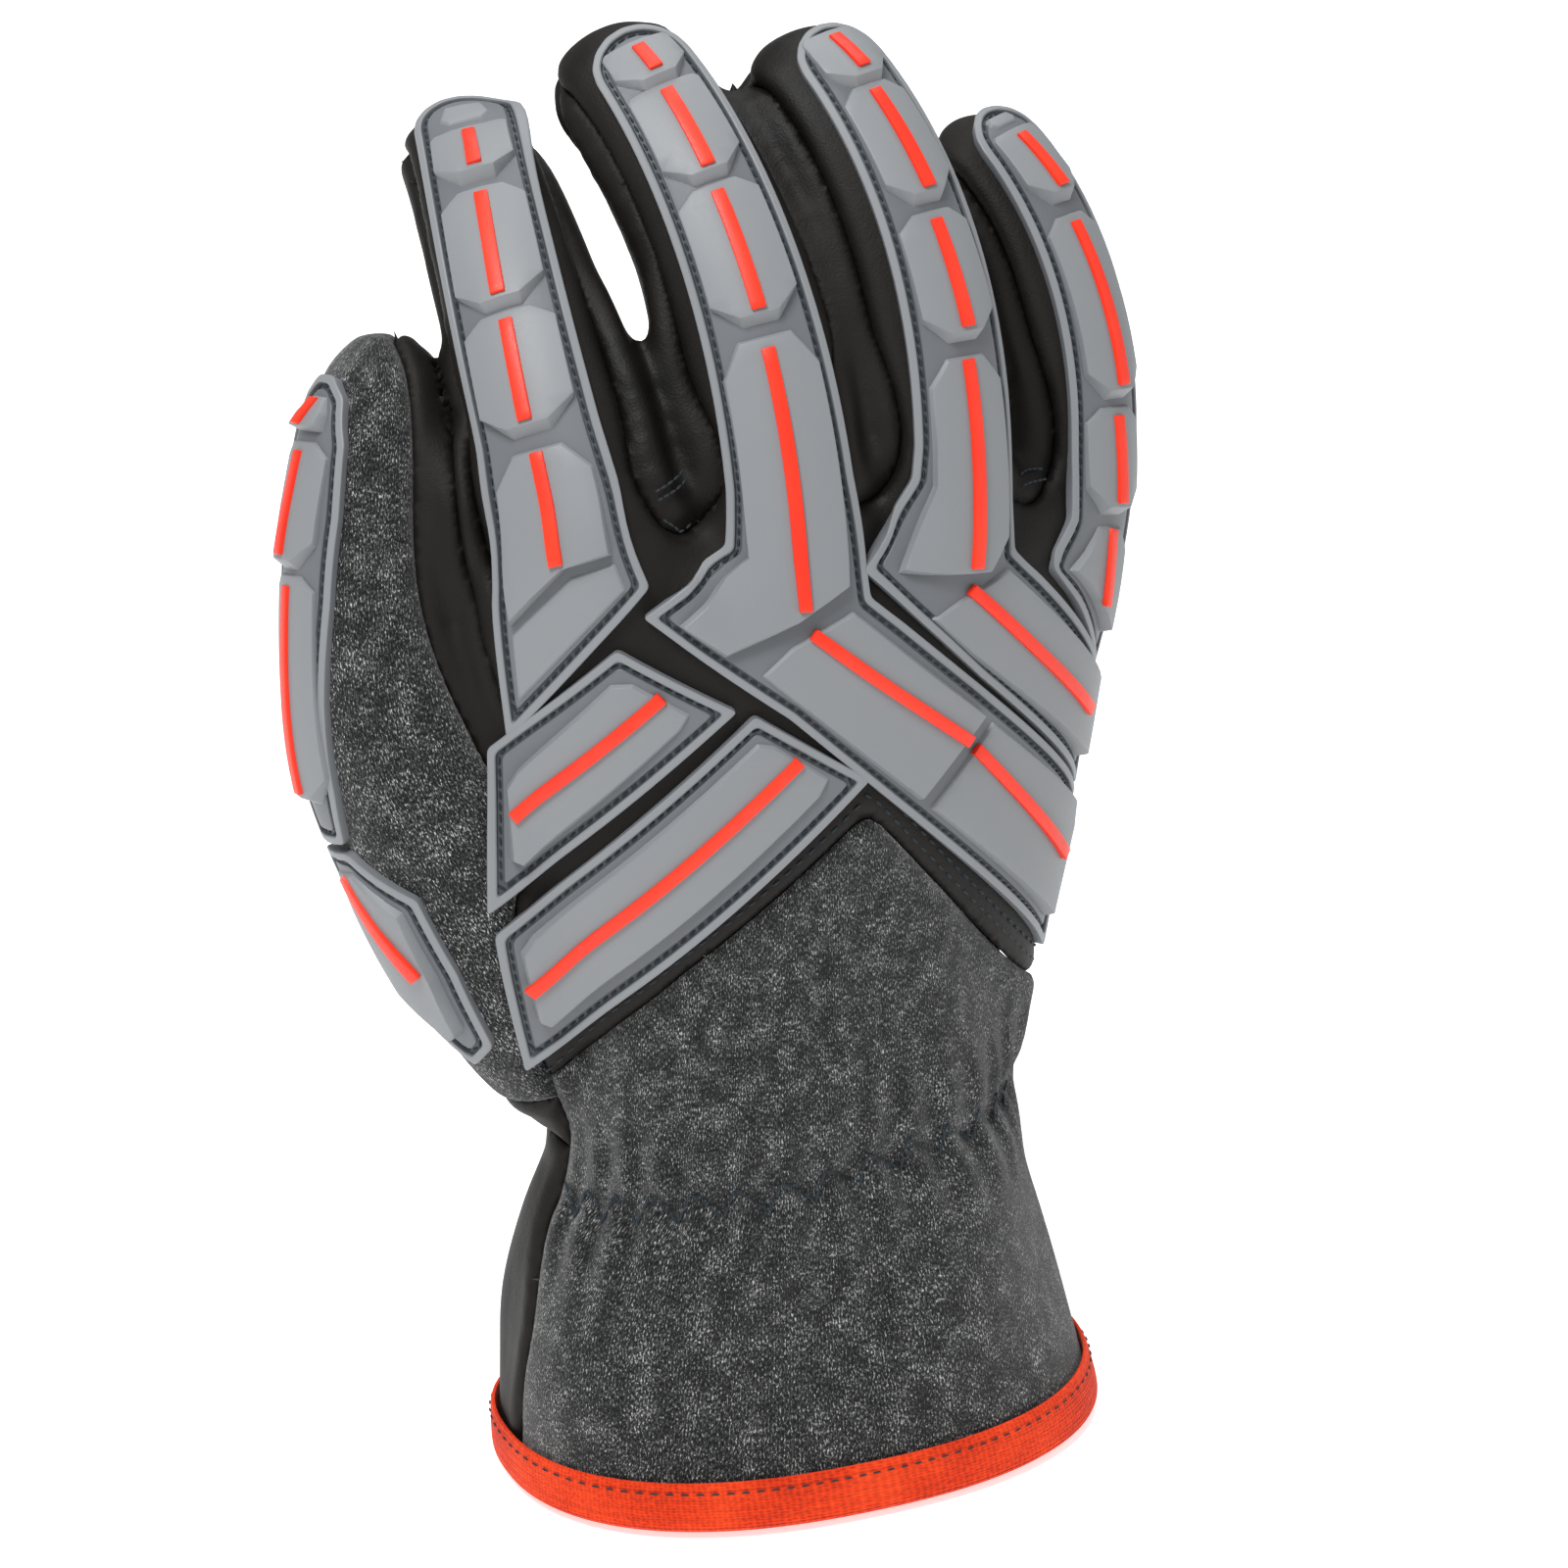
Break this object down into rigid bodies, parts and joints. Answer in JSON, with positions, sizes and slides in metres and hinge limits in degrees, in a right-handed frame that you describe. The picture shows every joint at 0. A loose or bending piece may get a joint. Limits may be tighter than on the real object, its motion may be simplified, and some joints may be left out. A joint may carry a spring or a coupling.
{
  "type": "fire-resistant impact glove",
  "caption": "Right-hand work glove of black leather and grey knit, with moulded grey rubber guards with red bars over the back of the hand, fingers and thumb.",
  "frame": {"origin": "centre of the cuff opening, on the plane of its hem", "axes": "+Z from the cuff to the finger tips, -Y out of the back of the hand, -X to the thumb's side"},
  "size_m": [0.1506, 0.1033, 0.2451],
  "materials": {
    "leather": "fine grain, satin",
    "knit": "heather charcoal jersey, matt",
    "hem": "orange knitted tape, matt",
    "guard": "moulded, satin",
    "bar": "moulded, satin"
  },
  "bodies": {
    "root": {"knit_cuff": "knit", "leather_back": "leather", "fourchette_index_middle": "leather", "fourchette_middle_ring": "leather", "fourchette_ring_little": "leather", "knit_thumb": "knit", "leather_thumb": "leather", "leather_front_middle": "leather", "leather_front_ring": "leather", "leather_cuff": "leather", "leather_palm": "leather", "hem_tape": "hem", "guard_index": "guard", "bar_index_1": "bar", "bar_index_2": "bar", "bar_index_3": "bar", "bar_index_4": "bar", "guard_middle": "guard", "bar_middle_1": "bar", "bar_middle_2": "bar", "bar_middle_3": "bar", "bar_middle_4": "bar", "bar_middle_5": "bar", "bar_middle_6": "bar", "guard_ring": "guard", "bar_ring_1": "bar", "bar_ring_2": "bar", "bar_ring_3": "bar", "bar_ring_4": "bar", "bar_ring_5": "bar", "guard_little": "guard", "bar_little_1": "bar", "bar_little_2": "bar", "bar_little_3": "bar", "bar_little_4": "bar", "guard_back_upper": "guard", "bar_back_upper_1": "bar", "guard_back_lower": "guard", "bar_back_lower_1": "bar", "guard_thumb": "guard", "bar_thumb_1": "bar", "bar_thumb_2": "bar", "bar_thumb_3": "bar", "guard_thumb_base": "guard", "bar_thumb_base_1": "bar"}
  },
  "joints": []
}
